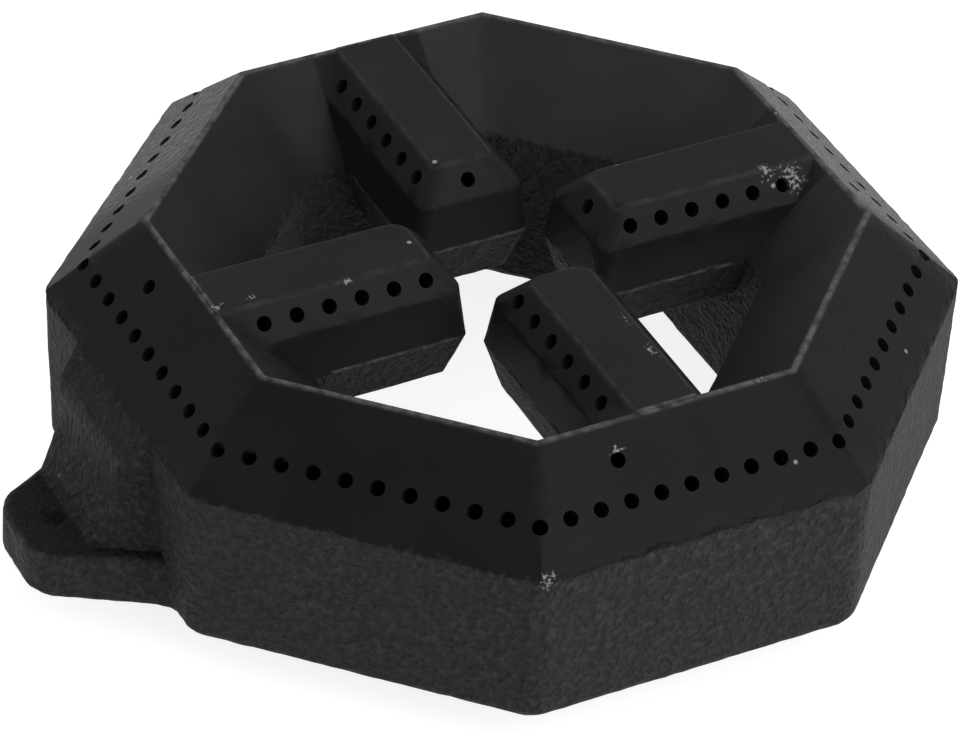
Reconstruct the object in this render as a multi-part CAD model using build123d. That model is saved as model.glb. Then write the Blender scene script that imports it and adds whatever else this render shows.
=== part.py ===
"""A cast-iron gas burner: an octagonal ring with a roof of two slopes, four fingers that reach
in towards the middle, a fixing lug on one side and a round gas inlet under the corner beside it.
It is one hollow sand casting, drilled with rows of flame ports. The origin is on the ring's axis,
level with its foot, +Z is up and the lug points along -X. Sizes are in millimetres."""
from build123d import *
import os
from math import cos, pi, tan

# Ring: widths are between opposite flat sides, heights start at the foot
side_count = 8
across_flats = 140.0
wall_height = 29.0
wall_draft = 0.7
ridge_across_flats = 109.0
roof_rise = 14.8
well_across_flats = 79.0
well_edge_rise = 0.8
shell = 4.5
corner_radius = 6.0
foot_radius = 2.0
ridge_radius = 0.7
well_edge_radius = 1.0

# Fingers: a flat top, sloped shoulders that hold the ports, steep sides and a tapered keel
finger_top_width = 10.8
finger_top_tip = 16.8
shoulder_run = 4.3
shoulder_drop = 5.3
side_draft = 0.6
keel_run = 2.6
keel_depth = 9.0
finger_edge_radius = 0.8
keel_bevel = 0.9
finger_corner_radius = 3.0
keel_corner_radius = 1.2

# Flame ports: each is drilled square to the slope that it sits in, and drawn with flats
port_diameter = 2.5
port_side_count = 12
ports_per_side = 10
port_row_rise = 5.8
lighting_port_rise = 10.4
lighting_port_offset = 10.7
finger_port_count = 6
finger_port_setback = 1.8
finger_port_root_gap = 7.3
finger_port_drop = 2.7
port_breakthrough = 2.2

# Fixing lug: a low boss with a screw hole, set off the middle of its side
lug_length = 18.2
lug_offset = 2.0
lug_height = 9.0
lug_end_width = 15.5
lug_foot_width = 40.0
lug_seat_width = 35.4
lug_end_radius = 7.0
lug_rim_radius = 1.6
lug_flare_radius = 7.0
lug_foot_radius = 1.2
lug_overlap = 3.0
lug_hole_diameter = 4.5
lug_hole_setback = 6.6

# Buttress: a web that runs up from the lug to the roof and draws in to the middle of its side
buttress_thickness = 4.8
buttress_toe = 9.2
buttress_toe_radius = 4.0
buttress_sill = 2.4
buttress_knee_rise = 7.5
buttress_knee_radius = 8.0
buttress_brow_radius = 4.0
buttress_seat_width = 36.0
buttress_top_width = 33.0
buttress_taper = 0.6

# Gas inlet: a short round neck under the middle of the ring's section
neck_diameter = 18.0
neck_bore = 12.0
neck_length = 5.2
neck_bevel = 0.8

turn = 360 / side_count
half_turn = pi / side_count
apothem = across_flats / 2
foot_apothem = apothem - wall_draft
ridge_apothem = ridge_across_flats / 2
well_apothem = well_across_flats / 2
ridge_height = wall_height + roof_rise
well_edge_height = wall_height + well_edge_rise
roof_fall = roof_rise / (apothem - ridge_apothem)
finger_sides = range(0, side_count, 2)
lug_side = side_count // 2
upward = (Align.CENTER, Align.CENTER, Align.MIN)


def rounded(points, radii):
    """A closed outline through the points, each corner rounded by its own radius."""
    outline = make_face(Polyline(*points, close=True))
    for point, radius in zip(points, radii):
        if radius:
            corner = outline.vertices().sort_by_distance((*point, 0))[0]
            outline = fillet(corner, radius)
    return outline


def on_side(index, shape):
    """A shape made for the +X side, turned to another side of the ring."""
    return Rot(Z=turn * index) * shape


def mitred_ring(section):
    """Carry a section, drawn as distance from the axis and height, round all the sides."""
    reach = across_flats
    half_width = reach * tan(half_turn)
    wedge = make_face(Polyline((0, 0), (reach, half_width), (reach, -half_width), close=True))
    bar = extrude(Plane.XZ * section, amount=half_width, both=True)
    side = bar & (Pos(Z=-reach) * extrude(wedge, amount=2 * reach))
    return Part() + [on_side(index, side) for index in range(side_count)]


def ring_plan(reach, height):
    """The ring's outside at one height, with two flat sides square to X and rounded corners."""
    plan = RegularPolygon(reach, side_count, major_radius=False, rotation=turn / 2)
    return Plane.XY.offset(height) * fillet(plan.vertices(), corner_radius)


def outer_wall():
    """The block inside the drafted outer wall, with its upright corners and foot rounded."""
    top_apothem = foot_apothem + wall_draft * ridge_height / wall_height
    block = loft([ring_plan(foot_apothem, 0), ring_plan(top_apothem, ridge_height)], ruled=True)
    return fillet(block.faces().sort_by(Axis.Z)[0].edges(), foot_radius)


def ring():
    """The solid ring: roof and well carried round the sides and trimmed by the outer wall."""
    eave = apothem + corner_radius
    points = [
        (eave, 0),
        (eave, wall_height - roof_fall * corner_radius),
        (ridge_apothem, ridge_height),
        (well_apothem, well_edge_height),
        (well_apothem, 0),
    ]
    section = rounded(points, [0, 0, ridge_radius, well_edge_radius, foot_radius])
    return mitred_ring(section) & outer_wall()


def ring_passage():
    """The gas passage inside the ring, one shell thickness in from every outer face."""
    points = [
        (foot_apothem, 0),
        (apothem, wall_height),
        (ridge_apothem, ridge_height),
        (well_apothem, well_edge_height),
        (well_apothem, 0),
    ]
    section = make_face(Polyline(*points, close=True))
    return mitred_ring(offset(section, -shell, kind=Kind.INTERSECTION))


def finger_levels():
    """How far a finger's outline stands out from its top's, its height and its corner radius."""
    side_out = shoulder_run + side_draft
    return [
        (0, ridge_height, finger_corner_radius),
        (shoulder_run, ridge_height - shoulder_drop, finger_corner_radius),
        (side_out, well_edge_height, keel_corner_radius),
        (side_out - keel_run, well_edge_height - keel_depth, keel_corner_radius),
    ]


def finger_plan(out, height, corner_size):
    """The outline of the +X finger at one height, with its tip's corners rounded."""
    nose = finger_top_tip - out
    across = finger_top_width / 2 + out
    corners = [(nose, across), (nose, -across), (ridge_apothem, -across), (ridge_apothem, across)]
    return Plane.XY.offset(height) * rounded(corners, [corner_size, corner_size, 0, 0])


def finger():
    """The finger on the +X side, drawn up through its outlines, its top and keel edges softened."""
    blank = loft([finger_plan(*level) for level in reversed(finger_levels())], ruled=True)
    top_edges = blank.edges().filter_by_position(Axis.Z, ridge_height, ridge_height)
    blank = fillet(top_edges.sort_by(Axis.X)[:-1], finger_edge_radius)
    keel_edges = blank.faces().sort_by(Axis.Z)[0].edges().sort_by(Axis.X)[:-1]
    return chamfer(keel_edges, keel_bevel)


def finger_passage():
    """The gas passage inside a finger, which opens into the ring's passage at its root."""
    levels = finger_levels()
    flank = [(finger_top_width / 2 + out, height) for out, height, corner_size in levels]
    other_flank = [(-across, height) for across, height in reversed(flank)]
    tip = [(finger_top_tip - out, height) for out, height, corner_size in levels]
    root = [(ridge_apothem, well_edge_height - keel_depth), (ridge_apothem, ridge_height)]
    inside = []
    for points in (flank + other_flank, tip + root):
        outline = make_face(Polyline(*points, close=True))
        inside.append(offset(outline, -shell, kind=Kind.INTERSECTION))
    bar = extrude(Plane.YZ * inside[0], amount=ridge_apothem)
    return bar & extrude(Plane.XZ * inside[1], amount=ridge_apothem, both=True)


def drill(place, outward):
    """A flame port's drill, from clear of the surface to just inside the passage."""
    length = port_diameter + shell + port_breakthrough
    outline = RegularPolygon(port_diameter / 2, port_side_count, major_radius=False)
    return Plane(place, z_dir=outward) * Pos(Z=port_diameter) * extrude(outline, amount=-length)


def ring_ports():
    """The main row round the roof's outer slope, with a port on every corner."""
    row_apothem = apothem - port_row_rise / roof_fall
    row_height = wall_height + port_row_rise
    half_side = row_apothem * tan(half_turn)
    pitch = 2 * half_side / ports_per_side
    corner_place = (row_apothem / cos(half_turn), 0, row_height)
    corner_port = drill(corner_place, (roof_fall * cos(half_turn), 0, 1))
    row = [Rot(Z=-turn / 2) * corner_port]
    for index in range(1, ports_per_side):
        row.append(drill((row_apothem, index * pitch - half_side, row_height), (roof_fall, 0, 1)))
    return [on_side(index, port) for index in range(side_count) for port in row]


def finger_ports():
    """The ports along both shoulders and at the tip of a finger, and the lighting port behind it."""
    out = shoulder_run * finger_port_drop / shoulder_drop
    height = ridge_height - finger_port_drop
    first = finger_top_tip + finger_port_setback
    pitch = (ridge_apothem - finger_port_root_gap - first) / (finger_port_count - 1)
    ports = [drill((finger_top_tip - out, 0, height), (-shoulder_drop, 0, shoulder_run))]
    for index in range(finger_port_count):
        for hand in (1, -1):
            place = (first + index * pitch, hand * (finger_top_width / 2 + out), height)
            ports.append(drill(place, (0, hand * shoulder_drop, shoulder_run)))
    lighting_apothem = apothem - lighting_port_rise / roof_fall
    lighting_place = (lighting_apothem, -lighting_port_offset, wall_height + lighting_port_rise)
    ports.append(drill(lighting_place, (roof_fall, 0, 1)))
    return [on_side(index, port) for index in finger_sides for port in ports]


def lug_plan(root_width, height):
    """The lug's outline at one height, flared where it meets the wall and rounded at its end."""
    inside = foot_apothem - lug_overlap
    wall = foot_apothem - foot_radius + lug_foot_radius
    half = [
        (inside, root_width / 2 + lug_flare_radius),
        (wall, root_width / 2 + lug_flare_radius),
        (wall, root_width / 2),
        (apothem + lug_length, lug_end_width / 2),
    ]
    radii = [0, 0, lug_flare_radius, lug_end_radius]
    other_half = [(along, -across) for along, across in reversed(half)]
    plan = rounded(half + other_half, radii + radii[::-1])
    return Pos(Y=lug_offset, Z=height) * plan


def lug():
    """The fixing lug on the +X side, drawn in from its foot to its seat, both edges rounded."""
    boss = loft([lug_plan(lug_foot_width, 0), lug_plan(lug_seat_width, lug_height)], ruled=True)
    foot_edges = boss.faces().sort_by(Axis.Z)[0].edges().sort_by(Axis.X)[1:]
    boss = fillet(foot_edges, lug_foot_radius)
    rim_edges = boss.faces().sort_by(Axis.Z)[-1].edges().sort_by(Axis.X)[1:]
    return fillet(rim_edges, lug_rim_radius)


def buttress_plan(width, offset, height):
    """The buttress's outline at one height, which narrows along the lug."""
    inside = foot_apothem - lug_overlap
    end = apothem + buttress_toe + buttress_sill
    half = [(inside, width / 2), (end, width / 2 - buttress_taper * (end - inside))]
    other_half = [(along, -across) for along, across in reversed(half)]
    plan = make_face(Polyline(*half, *other_half, close=True))
    return Pos(Y=offset, Z=height) * plan


def buttress():
    """The web above the lug: its side view, cut from flanks that lean in towards the roof."""
    inside = foot_apothem - lug_overlap
    end = apothem + buttress_toe + buttress_sill
    face = apothem + buttress_thickness
    outline = [
        (inside, lug_foot_radius),
        (end, lug_foot_radius),
        (end, lug_height - lug_rim_radius),
        (apothem + buttress_toe, lug_height),
        (face, lug_height + buttress_knee_rise),
        (face, wall_height - roof_fall * buttress_thickness),
        (apothem, wall_height),
        (inside, wall_height - lug_overlap),
    ]
    radii = [0, 0, 0, buttress_toe_radius, buttress_knee_radius, buttress_brow_radius, 0, 0]
    side_view = extrude(Plane.XZ * rounded(outline, radii), amount=apothem, both=True)
    lean = (buttress_seat_width - buttress_top_width) / (wall_height - lug_height)
    foot_plan = buttress_plan(buttress_seat_width + lean * lug_height, lug_offset, 0)
    top_plan = buttress_plan(buttress_top_width, 0, wall_height)
    return loft([foot_plan, top_plan], ruled=True) & side_view


def lug_hole():
    """The screw hole through the lug."""
    place = Pos(X=apothem + lug_length - lug_hole_setback, Y=lug_offset)
    return place * Cylinder(lug_hole_diameter / 2, lug_height + lug_overlap, align=upward)


def neck():
    """The inlet neck under the ring's corner, and the bore that joins it to the passage."""
    axis_radius = (foot_apothem + well_apothem) / 2 / cos(half_turn)
    place = Rot(Z=turn / 2) * Pos(X=axis_radius, Z=-neck_length)
    spigot = Cylinder(neck_diameter / 2, neck_length + shell, align=upward)
    spigot = chamfer(spigot.edges().sort_by(Axis.Z)[0], neck_bevel)
    bore = Cylinder(neck_bore / 2, neck_length + 2 * shell, align=upward)
    return place * spigot, place * bore


def burner():
    """The finished casting: outside forms joined, passages cored out, ports and holes drilled."""
    spigot, bore = neck()
    outside = ring() + [on_side(index, finger()) for index in finger_sides]
    outside = outside + on_side(lug_side, lug() + buttress()) + on_side(lug_side, spigot)
    core = ring_passage() + [on_side(index, finger_passage()) for index in finger_sides]
    core = core + on_side(lug_side, bore)
    return outside - core - ring_ports() - finger_ports() - on_side(lug_side, lug_hole())


os.makedirs("parts", exist_ok=True)
casting = burner()
casting.label = "burner_casting"
export_step(casting, "parts/burner_casting.step")
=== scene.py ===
"""A cast-iron gas hob burner, seen as in the photograph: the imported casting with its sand-cast skin,
on a plain white floor. The frame is in metres, with the ring's foot at Z = 0 and the lug along -X."""
import bmesh
import bpy
from math import radians
from mathutils import Matrix, Vector, noise


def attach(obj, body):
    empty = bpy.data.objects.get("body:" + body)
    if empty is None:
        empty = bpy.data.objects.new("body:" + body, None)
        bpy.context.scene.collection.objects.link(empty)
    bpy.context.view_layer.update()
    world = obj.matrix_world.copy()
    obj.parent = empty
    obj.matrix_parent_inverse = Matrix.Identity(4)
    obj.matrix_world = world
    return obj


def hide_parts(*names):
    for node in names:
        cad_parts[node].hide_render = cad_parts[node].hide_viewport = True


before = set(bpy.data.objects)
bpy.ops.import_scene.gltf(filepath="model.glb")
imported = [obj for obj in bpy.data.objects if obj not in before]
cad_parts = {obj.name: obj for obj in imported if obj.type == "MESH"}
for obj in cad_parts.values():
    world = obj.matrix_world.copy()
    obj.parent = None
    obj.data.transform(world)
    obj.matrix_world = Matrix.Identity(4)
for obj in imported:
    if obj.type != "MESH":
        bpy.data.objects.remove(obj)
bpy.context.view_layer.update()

# The casting: the whole burner is one hollow grey-iron sand casting, left as cast and drilled.
# The lower half of its mould was coarse sand, so the walls, keels and lug are rough, and the roof
# and the fingers above the parting line are smoother, with lighter lines along their edges, partly
# worn and partly painted highlight.

parting_height = 0.029
well_parting_height = 0.0298
ridge_height = 0.0438
ridge_apothem = 0.0545
well_apothem = 0.0395
eave_apothem = 0.070
core_outside = 0.067
core_inside = 0.0415
core_floor = 0.003
core_cover = 0.003
finger_core_half_width = 0.0062
finger_core_tip = 0.0158
finger_core_floor = 0.0245
finger_core_top = 0.0415
finger_half_width = 0.0054
finger_tip = 0.0168
diagonal = 0.5 ** 0.5

# Mesh: how close its points are, and the sand's relief on the rough skin
rough_spacing = 0.0026
smooth_spacing = 0.0050
chip_spacing = 0.0004
hidden_spacing = 1.0
most_cuts = 12
same_point = 1e-6
line_margin = 0.0002
rough_grain = 0.0018
rough_depth = 0.00012
rough_fineness = 0.9
rough_step = 2.1
rough_layers = 2
sharp_angle = radians(26)

# Bare spots that the photo shows: where each one is, and how far it spreads
chips = [
    (Vector((-0.0275, -0.0698, 0.0288)), 0.0032),
    (Vector((-0.0108, -0.0580, 0.0404)), 0.0018),
    (Vector((0.0489, -0.0071, 0.0417)), 0.0052),
    (Vector((0.0446, -0.0059, 0.0432)), 0.0034),
    (Vector((-0.0541, -0.0039, 0.0438)), 0.0018),
    (Vector((-0.0477, -0.0036, 0.0438)), 0.0011),
    (Vector((-0.0316, -0.0056, 0.0435)), 0.0014),
    (Vector((0.0042, -0.0414, 0.0438)), 0.0014),
    (Vector((0.0041, -0.0329, 0.0438)), 0.0011),
    (Vector((0.0171, -0.0546, 0.0435)), 0.0014),
    (Vector((0.0040, 0.0423, 0.0438)), 0.0011),
]


def side_distance(place):
    """How far a place is from the axis, measured square to the nearest side of the ring."""
    across, along = abs(place.x), abs(place.y)
    return max(across, along, (across + along) * diagonal)


def in_passage(place):
    """True on the hidden faces of the gas passage, in the ring or in a finger."""
    reach = side_distance(place)
    outer_slope = (ridge_height - parting_height) / (eave_apothem - ridge_apothem)
    inner_slope = (ridge_height - well_parting_height) / (ridge_apothem - well_apothem)
    outer_roof = parting_height + outer_slope * (eave_apothem - reach)
    inner_roof = well_parting_height + inner_slope * (reach - well_apothem)
    if core_inside < reach < core_outside:
        if core_floor < place.z < min(outer_roof, inner_roof) - core_cover:
            return True
    across, along = sorted((abs(place.x), abs(place.y)))
    if across < finger_core_half_width and finger_core_tip < along < ridge_apothem:
        return finger_core_floor < place.z < finger_core_top
    return False


def on_rough_skin(place):
    """True on the outside of the rough lower half of the casting."""
    in_well = side_distance(place) < core_inside
    line = well_parting_height if in_well else parting_height
    return place.z < line + line_margin and not in_passage(place)


def chip_share(place):
    """How bare a place is, from 0 on whole skin to 1 in the middle of a chip."""
    return max(max(0.0, 1 - (place - middle).length / spread) for middle, spread in chips)


def wanted_spacing(place):
    """How close together the mesh's points are at a place."""
    if chip_share(place) > 0:
        return chip_spacing
    if in_passage(place):
        return hidden_spacing
    return rough_spacing if on_rough_skin(place) else smooth_spacing


skin = bmesh.new()
skin.from_mesh(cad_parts["burner_casting"].data)
bmesh.ops.remove_doubles(skin, verts=skin.verts, dist=same_point)
for cut in range(most_cuts):
    long_edges = []
    for edge in skin.edges:
        length = edge.calc_length()
        if length > chip_spacing:
            middle = (edge.verts[0].co + edge.verts[1].co) / 2
            if length > wanted_spacing(middle):
                long_edges.append(edge)
    if not long_edges:
        break
    bmesh.ops.subdivide_edges(skin, edges=long_edges, cuts=1)
    bmesh.ops.triangulate(skin, faces=[face for face in skin.faces if len(face.verts) > 3])
skin.normal_update()
lifts = []
for vertex in skin.verts:
    lift = 0.0
    if on_rough_skin(vertex.co):
        swell = noise.fractal(vertex.co / rough_grain, rough_fineness, rough_step, rough_layers)
        lift = swell * rough_depth
    lifts.append(vertex.normal * lift)
for vertex, lift in zip(skin.verts, lifts):
    vertex.co += lift
chip_layer = skin.verts.layers.float.new("chip")
for vertex in skin.verts:
    vertex[chip_layer] = chip_share(vertex.co)
casting_mesh = bpy.data.meshes.new("cast_burner")
skin.to_mesh(casting_mesh)
skin.free()
casting_mesh.shade_smooth()
casting_mesh.set_sharp_from_angle(angle=sharp_angle)
casting = bpy.data.objects.new("cast_burner", casting_mesh)
bpy.context.collection.objects.link(casting)
even_normals = casting.modifiers.new("even_normals", "WEIGHTED_NORMAL")
even_normals.keep_sharp = True


def add(tree, kind, inputs, **settings):
    """Add a shader node, set its options, and fill or link its inputs by name or number."""
    made = tree.nodes.new("ShaderNode" + kind)
    for name, value in settings.items():
        setattr(made, name, value)
    for name, value in inputs.items():
        if isinstance(value, bpy.types.NodeSocket):
            tree.links.new(value, made.inputs[name])
        else:
            made.inputs[name].default_value = value
    return made


def calc(tree, operation, *values):
    """One step of arithmetic on values or sockets."""
    return add(tree, "Math", dict(enumerate(values)), operation=operation).outputs[0]


def fade(tree, value, low, high, start=0.0, end=1.0):
    """A soft step from start to end as the value goes from low to high."""
    inputs = {"Value": value, "From Min": low, "From Max": high, "To Min": start, "To Max": end}
    return add(tree, "MapRange", inputs, interpolation_type="SMOOTHSTEP").outputs[0]


def near(tree, value, line, reach):
    """1 on a line and 0 at its reach, on either side."""
    away = calc(tree, "ABSOLUTE", calc(tree, "SUBTRACT", value, line))
    return fade(tree, away, reach * 0.3, reach, 1.0, 0.0)


def grain(tree, place, size, detail, low=0.0, high=1.0):
    """Fractal noise with grains of about the given size in metres."""
    inputs = {"Vector": place, "Scale": 1 / size, "Detail": detail, "Roughness": 0.55}
    value = add(tree, "TexNoise", inputs).outputs["Fac"]
    return fade(tree, value, 0.3, 0.7, low, high)


def mix(tree, share, first, second):
    """Go from one colour to another."""
    inputs = {"Factor": share, 6: first, 7: second}
    return add(tree, "Mix", inputs, data_type="RGBA", clamp_factor=True).outputs[2]


# Relief of the skin: the size of its grains and how high they stand
coarse_grain_size = 0.0011
coarse_grain_height = 0.00060
broad_grain_size = 0.0040
broad_grain_height = 0.00050
sand_size = 0.0009
sand_height = 0.00002
back_grain_height = 0.00050

# Widths of the lighter edge lines, partly worn and partly painted highlight, to either side
ridge_line_reach = 0.0008
finger_line_reach = 0.0006
keel_line_reach = 0.0005
finger_line_share = 0.2

# Colours of the iron, from soot to bare metal; the pale slope, pit, grain, ledge, back grain and edge
# colours also carry painted light and shade
outer_black = (0.0072, 0.0072, 0.0076, 1)
outer_worn = (0.0100, 0.0100, 0.0105, 1)
slope_black = (0.015, 0.015, 0.0157, 1)
slope_pale_and_lit = (0.032, 0.032, 0.0335, 1)
finger_black = (0.0115, 0.0115, 0.012, 1)
finger_worn = (0.0155, 0.0155, 0.0163, 1)
back_pits = (0.010, 0.010, 0.0105, 1)
back_grains_glint = (0.060, 0.060, 0.062, 1)
rough_pits_shaded = (0.023, 0.023, 0.0238, 1)
rough_grains_lit = (0.058, 0.058, 0.060, 1)
rough_ledge_shade = (0.014, 0.014, 0.0147, 1)
worn_and_highlight_grey = (0.13, 0.13, 0.13, 1)
bare_iron = (0.30, 0.31, 0.32, 1)
speck_grey = (0.35, 0.35, 0.36, 1)
smooth_roughness = 0.55
back_roughness = 0.38
rough_roughness = 0.62

iron = bpy.data.materials.new("cast_iron")
iron.use_nodes = True
tree = iron.node_tree
place = add(tree, "TexCoord", {}).outputs["Object"]
axes = add(tree, "SeparateXYZ", {"Vector": place}).outputs
across = calc(tree, "ABSOLUTE", axes["X"])
along = calc(tree, "ABSOLUTE", axes["Y"])
height = axes["Z"]
finger_run = calc(tree, "MAXIMUM", across, along)
finger_side = calc(tree, "MINIMUM", across, along)
slant = calc(tree, "MULTIPLY", calc(tree, "ADD", across, along), diagonal)
reach = calc(tree, "MAXIMUM", finger_run, slant)

# Rough share: 1 below the parting line, which is higher by a little in the well
line_step = fade(tree, reach, 0.043, 0.045, well_parting_height, parting_height)
wobble = grain(tree, place, 0.003, 2, -0.0005, 0.0005)
under_line = calc(tree, "SUBTRACT", calc(tree, "ADD", line_step, wobble), height)
rough = fade(tree, under_line, -0.0004, 0.0006)

# Relief: coarse grains on the rough skin, fine sand on the smooth skin and more of it at the back
coarse_grain = grain(tree, place, coarse_grain_size, 4)
broad_grain = grain(tree, place, broad_grain_size, 2)
sand = grain(tree, place, sand_size, 2)
across_back = calc(tree, "MULTIPLY", axes["X"], 0.48)
back = fade(tree, calc(tree, "MULTIPLY_ADD", axes["Y"], 0.88, across_back), 0.0, 0.02)
outside = fade(tree, reach, ridge_apothem, ridge_apothem + 0.001)
sandy = calc(tree, "MULTIPLY", back, outside)
rough_height = calc(tree, "MULTIPLY", coarse_grain, coarse_grain_height)
rough_height = calc(tree, "MULTIPLY_ADD", broad_grain, broad_grain_height, rough_height)
sandy_depth = fade(tree, sandy, 0.0, 1.0, 0.0, back_grain_height)
smooth_height = calc(tree, "MULTIPLY", sand, sand_height)
smooth_height = calc(tree, "MULTIPLY_ADD", coarse_grain, sandy_depth, smooth_height)
relief = add(tree, "Mix", {"Factor": rough, "A": smooth_height, "B": rough_height}).outputs[0]
bump = add(tree, "Bump", {"Height": relief, "Strength": 1.0, "Distance": 1.0})

# Lighter edge lines, partly worn and partly painted highlight: the ridge, the outlines of the finger
# tops and the parting edges of the fingers
on_top = fade(tree, height, ridge_height - 0.0012, ridge_height - 0.0006)
ridge_line = calc(tree, "MULTIPLY", near(tree, reach, ridge_apothem, ridge_line_reach), on_top)
past_tip = fade(tree, finger_run, finger_tip - 0.0004, finger_tip)
before_root = fade(tree, finger_run, ridge_apothem - 0.001, ridge_apothem, 1.0, 0.0)
finger_span = calc(tree, "MULTIPLY", past_tip, before_root)
side_line = near(tree, finger_side, finger_half_width, finger_line_reach)
side_line = calc(tree, "MULTIPLY", side_line, finger_span)
tip_line = near(tree, finger_run, finger_tip, finger_line_reach)
finger_line = calc(tree, "MULTIPLY", calc(tree, "MAXIMUM", side_line, tip_line), on_top)
in_well = fade(tree, reach, 0.036, 0.037, 1.0, 0.0)
keel_line = calc(tree, "MULTIPLY", near(tree, height, well_parting_height, keel_line_reach), in_well)
patchy = grain(tree, place, 0.0022, 4, 0.15, 1.0)
finger_line = calc(tree, "MULTIPLY", finger_line, finger_line_share)
lines = calc(tree, "MAXIMUM", ridge_line, finger_line)
lines = calc(tree, "MULTIPLY", calc(tree, "MAXIMUM", lines, keel_line), patchy)

# Bare chips and loose bright specks
chip = add(tree, "Attribute", {}, attribute_name="chip").outputs["Fac"]
chip_break = grain(tree, place, 0.0006, 3)
bare = fade(tree, calc(tree, "MULTIPLY", chip, chip_break), 0.32, 0.6)
speck_cells = add(tree, "TexVoronoi", {"Vector": place, "Scale": 220})
speck_pick = add(tree, "SeparateColor", {"Color": speck_cells.outputs["Color"]}).outputs[0]
speck_core = fade(tree, speck_cells.outputs["Distance"], 0.05, 0.12, 1.0, 0.0)
speck = calc(tree, "MULTIPLY", speck_core, fade(tree, speck_pick, 0.93, 0.95))

# Colour: near black outside, lighter inside and on the fingers, greyer where it is rough, with painted
# light and shade on the slopes, grains, pits, ledges and edges
tint = grain(tree, place, 0.014, 3)
normal = add(tree, "NewGeometry", {}).outputs["True Normal"]
facing_up = fade(tree, add(tree, "SeparateXYZ", {"Vector": normal}).outputs["Z"], 0.55, 0.85)
on_finger = fade(tree, finger_side, 0.0097, 0.0102, 1.0, 0.0)
outer_colour = mix(tree, tint, outer_black, outer_worn)
# Painted light: the slopes are painted lighter towards the right and back, on top of their random
# tone.
right_back = calc(tree, "MULTIPLY", axes["X"], 0.88)
right_back = calc(tree, "MULTIPLY_ADD", axes["Y"], 0.48, right_back)
tone_and_lit_side = calc(tree, "MULTIPLY_ADD", tint, 0.3, fade(tree, right_back, -0.01, 0.03, 0.0, 0.8))
slope_colour = mix(tree, tone_and_lit_side, slope_black, slope_pale_and_lit)
finger_colour = mix(tree, tint, finger_black, finger_worn)
inner_colour = mix(tree, on_finger, slope_colour, finger_colour)
# Painted reflection: outside the ridge at the back, the grains are painted much lighter, as a glint of
# the bright surround.
sandy_glint_colour = mix(tree, coarse_grain, back_pits, back_grains_glint)
outer_colour = mix(tree, sandy, outer_colour, sandy_glint_colour)
smooth_colour = mix(tree, outside, inner_colour, outer_colour)
# Painted light and shade on the rough skin: darker in the pits and lighter on the grains, following
# the noise that also drives the bump.
rough_colour = mix(tree, coarse_grain, rough_pits_shaded, rough_grains_lit)
# Painted shade: the upward-facing parts of the rough skin, such as the top of the lug, are painted
# darker.
rough_colour = mix(tree, facing_up, rough_colour, rough_ledge_shade)
colour = mix(tree, rough, smooth_colour, rough_colour)
# Partly wear and partly painted highlight: the edge lines are painted a lighter grey.
colour = mix(tree, lines, colour, worn_and_highlight_grey)
colour = mix(tree, bare, colour, bare_iron)
colour = mix(tree, speck, colour, speck_grey)
smooth_sheen = fade(tree, sandy, 0.0, 1.0, smooth_roughness, back_roughness)
sheen = add(tree, "Mix", {"Factor": rough, "A": smooth_sheen, "B": rough_roughness}).outputs[0]
surface = tree.nodes["Principled BSDF"]
surface.inputs["Specular IOR Level"].default_value = 0.15
tree.links.new(colour, surface.inputs["Base Color"])
tree.links.new(sheen, surface.inputs["Roughness"])
tree.links.new(bump.outputs["Normal"], surface.inputs["Normal"])
casting_mesh.materials.append(iron)
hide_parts("burner_casting")
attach(casting, "root")

# The floor: a plain matt board under the inlet neck. The camera and the reflections see it as white,
# and it sends only a little of its own light up at the casting.

floor_reach = 3
floor_height = -0.0072
floor_grey = (0.45, 0.45, 0.45, 1)
floor_own_light = 0.05
floor_seen_light = 0.85
floor_corners = [
    (-floor_reach, -floor_reach, 0),
    (floor_reach, -floor_reach, 0),
    (floor_reach, floor_reach, 0),
    (-floor_reach, floor_reach, 0),
]
floor_mesh = bpy.data.meshes.new("floor")
floor_mesh.from_pydata(floor_corners, [], [(0, 1, 2, 3)])
floor = bpy.data.objects.new("floor", floor_mesh)
floor.location.z = floor_height
bpy.context.collection.objects.link(floor)
white = bpy.data.materials.new("white_floor")
white.use_nodes = True
white_surface = white.node_tree.nodes["Principled BSDF"]
white_surface.inputs["Base Color"].default_value = floor_grey
white_surface.inputs["Emission Color"].default_value = (1, 1, 1, 1)
seen = add(white.node_tree, "LightPath", {}).outputs
seen_plainly = calc(white.node_tree, "MAXIMUM", seen["Is Camera Ray"], seen["Is Glossy Ray"])
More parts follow.
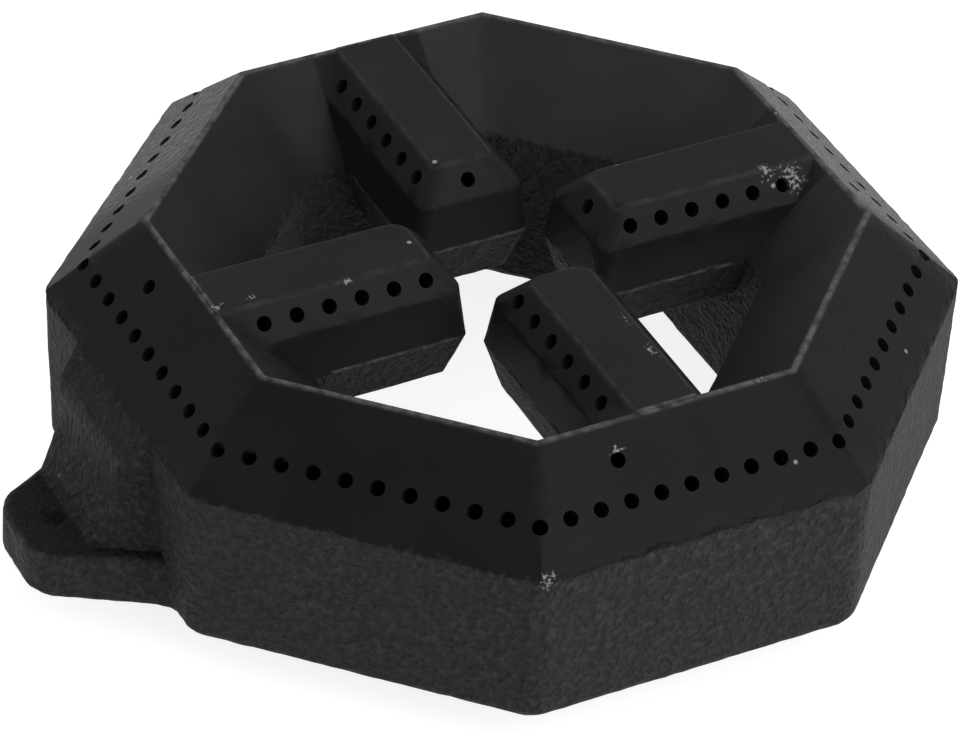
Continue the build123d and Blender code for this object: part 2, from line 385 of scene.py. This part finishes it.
glow = fade(white.node_tree, seen_plainly, 0.0, 1.0, floor_own_light, floor_seen_light)
white.node_tree.links.new(glow, white_surface.inputs["Emission Strength"])
floor_mesh.materials.append(white)

# The light: a soft surround, brightest above and behind, and a wide round lamp in front,
# to the right, that is aimed at the middle of the ring.

bright_side = Vector((0.26, 0.55, 0.79)).normalized()
dim_level = 0.24
bright_level = 0.65
key_place = Vector((0.45, -1.20, 0.85))
key_width = 1.2
key_watts = 10
world = bpy.data.worlds.new("surround")
world.use_nodes = True
sky = world.node_tree
direction = add(sky, "TexCoord", {}).outputs["Generated"]
turned = add(sky, "VectorMath", {0: direction, 1: bright_side}, operation="DOT_PRODUCT")
level = fade(sky, turned.outputs["Value"], -0.3, 0.9, dim_level, bright_level)
sky.links.new(level, sky.nodes["Background"].inputs["Strength"])
sky.nodes["Background"].inputs["Color"].default_value = (1, 1, 1, 1)
bpy.context.scene.world = world
key_data = bpy.data.lights.new("soft_key", "AREA")
key_data.shape = "DISK"
key_data.size = key_width
key_data.energy = key_watts
key = bpy.data.objects.new("soft_key", key_data)
key.location = key_place
key.rotation_euler = (-key_place).to_track_quat("-Z", "Y").to_euler()
bpy.context.collection.objects.link(key)

# The camera: the photo's place, worked out from the ring's corners and the rows of ports.
# It is turned a little about its own line of sight, as the photo is.

camera_place = Vector((-0.3289, -0.6030, 0.5429))
camera_target = Vector((-0.01425, -0.01969, 0.0290))
camera_roll = radians(2.84)
film_width_mm = 36
lens_mm = 195.14
camera_data = bpy.data.cameras.new("photo_camera")
camera_data.sensor_fit = "HORIZONTAL"
camera_data.sensor_width = film_width_mm
camera_data.lens = lens_mm
camera = bpy.data.objects.new("photo_camera", camera_data)
aim = (camera_target - camera_place).to_track_quat("-Z", "Y").to_matrix()
turned_aim = (aim @ Matrix.Rotation(camera_roll, 3, "Z")).to_4x4()
camera.matrix_world = Matrix.Translation(camera_place) @ turned_aim
bpy.context.collection.objects.link(camera)
bpy.context.scene.camera = camera
bpy.context.scene.view_settings.view_transform = "Standard"
